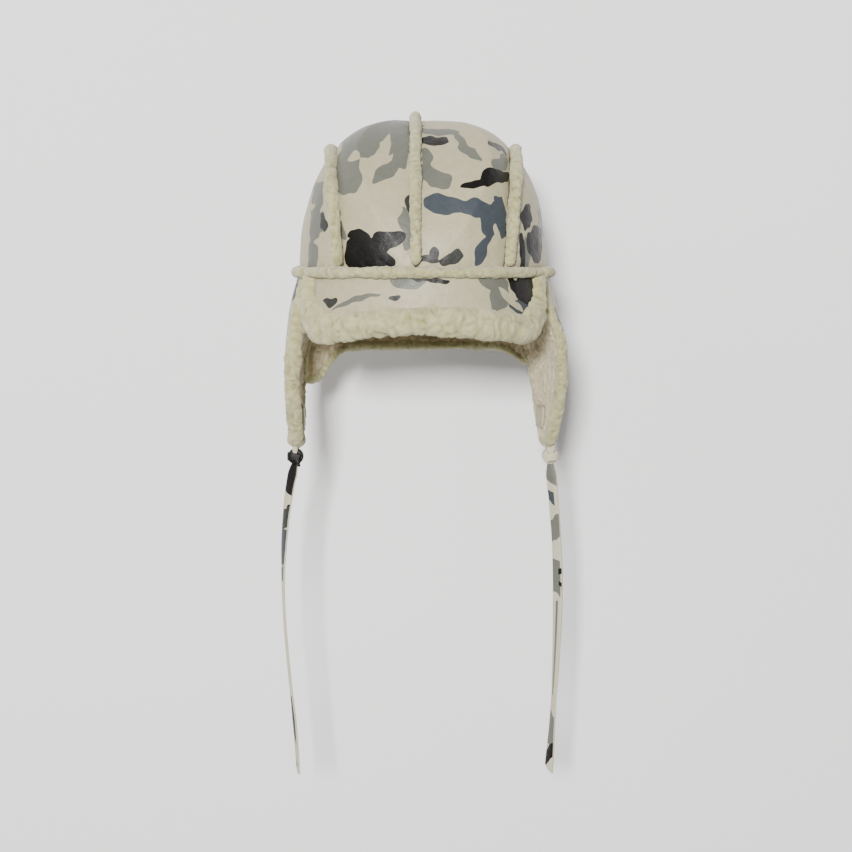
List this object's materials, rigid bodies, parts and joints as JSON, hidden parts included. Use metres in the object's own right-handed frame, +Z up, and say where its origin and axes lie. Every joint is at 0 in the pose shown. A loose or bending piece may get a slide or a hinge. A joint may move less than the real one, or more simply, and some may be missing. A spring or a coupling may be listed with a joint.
{
  "type": "trapper hat",
  "caption": "Leather trapper hat with raised fleece seams, fleece lining, folding front, ear and neck flaps, and hanging leather ties.",
  "frame": {"origin": "centre of the head opening, at the height of the seam that joins the crown to the flaps", "axes": "+Z up through the top of the crown; the face looks along -Y; +X is the wearer's left ear"},
  "size_m": [0.2305, 0.2469, 0.5283],
  "materials": {
    "camo_leather": "smooth leather with a fine grain, printed with a snow camouflage in cream, greys, slate and black, soft sheen",
    "lining_fleece": "deep curly fleece, matt",
    "seam_fleece": "raised curly fleece edge, matt",
    "tie_leather": "flat leather lace, printed on its face, pale on its edges and back"
  },
  "bodies": {
    "crown": {"crown_top_left": "camo_leather", "crown_top_right": "camo_leather", "crown_side_left": "camo_leather", "crown_side_right": "camo_leather", "crown_top_lining_left": "lining_fleece", "crown_top_lining_right": "lining_fleece", "crown_side_lining_left": "lining_fleece", "crown_side_lining_right": "lining_fleece", "centre_seam_welt": "seam_fleece", "side_seam_welt_left": "seam_fleece", "side_seam_welt_right": "seam_fleece", "brow_seam_welt": "seam_fleece", "nape_seam_welt": "seam_fleece"},
    "front_flap": {"front_flap_lining": "lining_fleece", "front_flap_window": "camo_leather", "front_flap_border": "seam_fleece"},
    "neck_flap": {"neck_flap_shell": "camo_leather", "neck_flap_lining": "lining_fleece", "neck_flap_edge": "seam_fleece"},
    "ear_flap_left": {"ear_flap_shell_left": "camo_leather", "ear_flap_lining_left": "lining_fleece", "ear_flap_edge_left": "seam_fleece", "tie_patch_left": "camo_leather", "tie_loop_left": "tie_leather"},
    "tie_knot_left": {"tie_knot_left": "tie_leather"},
    "tie_left": {"tie_strap_left": "tie_leather"},
    "ear_flap_right": {"ear_flap_shell_right": "camo_leather", "ear_flap_lining_right": "lining_fleece", "ear_flap_edge_right": "seam_fleece", "tie_patch_right": "camo_leather", "tie_loop_right": "tie_leather"},
    "tie_knot_right": {"tie_knot_right": "tie_leather"},
    "tie_right": {"tie_strap_right": "tie_leather"}
  },
  "joints": [
    {"name": "front_flap_fold", "type": "hinge", "parent": "crown", "child": "front_flap", "pos_m": [0, -0.12, -0.01], "axis": [-1, 0, 0], "range_deg": [0, 150]},
    {"name": "neck_flap_fold", "type": "hinge", "parent": "crown", "child": "neck_flap", "pos_m": [0, 0.119, -0.01], "axis": [1, 0, 0], "range_deg": [0, 150]},
    {"name": "ear_flap_fold_left", "type": "hinge", "parent": "crown", "child": "ear_flap_left", "pos_m": [0.102, 0, -0.01], "axis": [0, -1, 0], "range_deg": [0, 125]},
    {"name": "tie_hang_left", "type": "hinge", "parent": "ear_flap_left", "child": "tie_knot_left", "pos_m": [0.102, 0, -0.147], "axis": [0, -1, 0], "range_deg": [-125, 0]},
    {"name": "tie_swing_left", "type": "hinge", "parent": "tie_knot_left", "child": "tie_left", "pos_m": [0.102, 0, -0.147], "axis": [1, 0, 0], "range_deg": [-35, 35]},
    {"name": "ear_flap_fold_right", "type": "hinge", "parent": "crown", "child": "ear_flap_right", "pos_m": [-0.102, 0, -0.01], "axis": [0, 1, 0], "range_deg": [0, 125]},
    {"name": "tie_hang_right", "type": "hinge", "parent": "ear_flap_right", "child": "tie_knot_right", "pos_m": [-0.102, 0, -0.147], "axis": [0, 1, 0], "range_deg": [-125, 0]},
    {"name": "tie_swing_right", "type": "hinge", "parent": "tie_knot_right", "child": "tie_right", "pos_m": [-0.102, 0, -0.147], "axis": [1, 0, 0], "range_deg": [-35, 35]}
  ],
  "couplings": [
    {"joint": "tie_hang_left", "follows": "ear_flap_fold_left", "ratio": -1},
    {"joint": "tie_hang_right", "follows": "ear_flap_fold_right", "ratio": -1}
  ]
}
